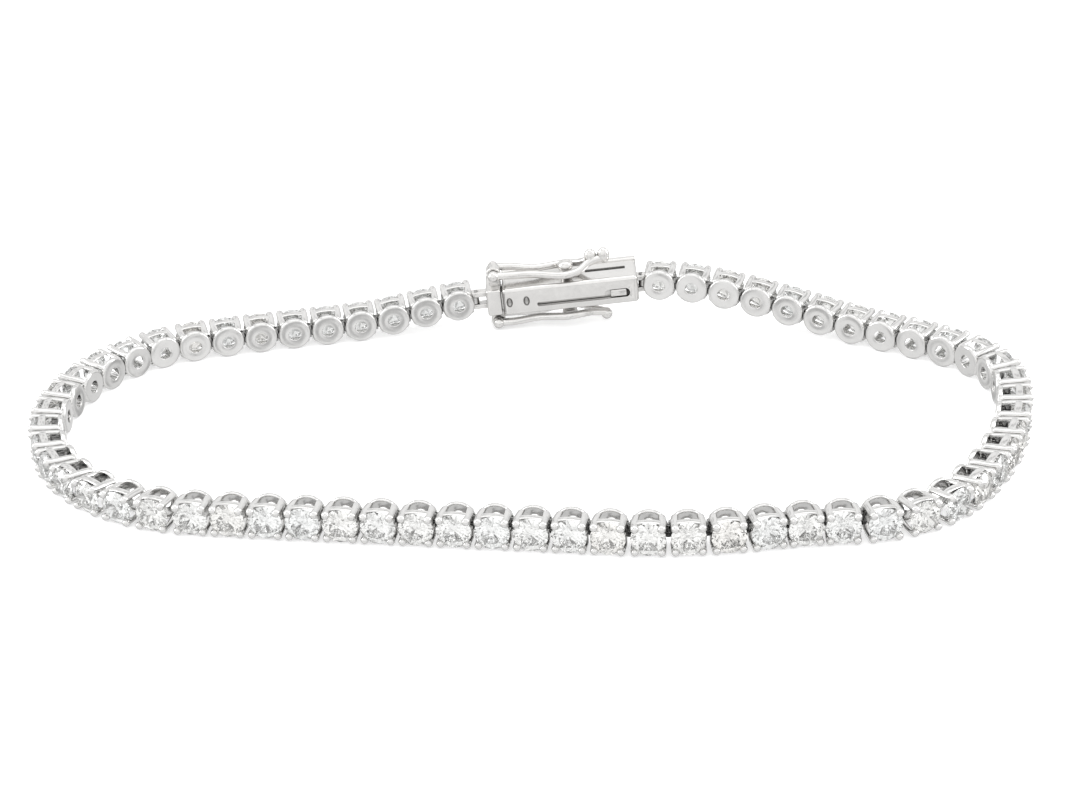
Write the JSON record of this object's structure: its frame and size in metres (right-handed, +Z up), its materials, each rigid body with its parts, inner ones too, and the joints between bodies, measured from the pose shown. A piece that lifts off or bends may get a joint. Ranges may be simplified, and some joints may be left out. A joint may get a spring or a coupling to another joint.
{
  "type": "tennis bracelet",
  "caption": "Closed loop of small four-prong links with round brilliant stones, joined by a box clasp with two figure-8 safety catches.",
  "frame": {"origin": "on the surface that the bracelet stands on, at the middle of its outline seen from above", "axes": "+Z up, +Y from the front row towards the clasp, +X to the right"},
  "size_m": [0.0744, 0.0408, 0.0064],
  "materials": {
    "white_gold": "cast and polished white gold",
    "polished_white_gold": "high polish with light wear",
    "diamond": "round brilliant cut, colourless"
  },
  "bodies": {
    "bracelet": {"settings_1": "white_gold", "settings_2": "white_gold", "settings_3": "white_gold", "settings_4": "white_gold", "settings_5": "white_gold", "settings_6": "white_gold", "stones_1": "diamond", "stones_2": "diamond", "stones_3": "diamond", "stones_4": "diamond", "stones_5": "diamond", "stones_6": "diamond", "clasp_box": "polished_white_gold", "clasp_tongue": "polished_white_gold", "tongue_hinge_pin": "polished_white_gold", "box_hinge_pin": "polished_white_gold"},
    "upper_catch": {"upper_safety_catch": "polished_white_gold"},
    "lower_catch": {"lower_safety_catch": "polished_white_gold"}
  },
  "joints": [
    {"name": "upper_catch_hinge", "type": "hinge", "parent": "bracelet", "child": "upper_catch", "pos_m": [-0.00262, 0.01801, 0.00463], "axis": [0.0057, -1, 0], "range_deg": [0, 120]},
    {"name": "lower_catch_hinge", "type": "hinge", "parent": "bracelet", "child": "lower_catch", "pos_m": [-0.00232, 0.01801, 0.00059], "axis": [-0.0057, 1, 0], "range_deg": [0, 120]}
  ]
}
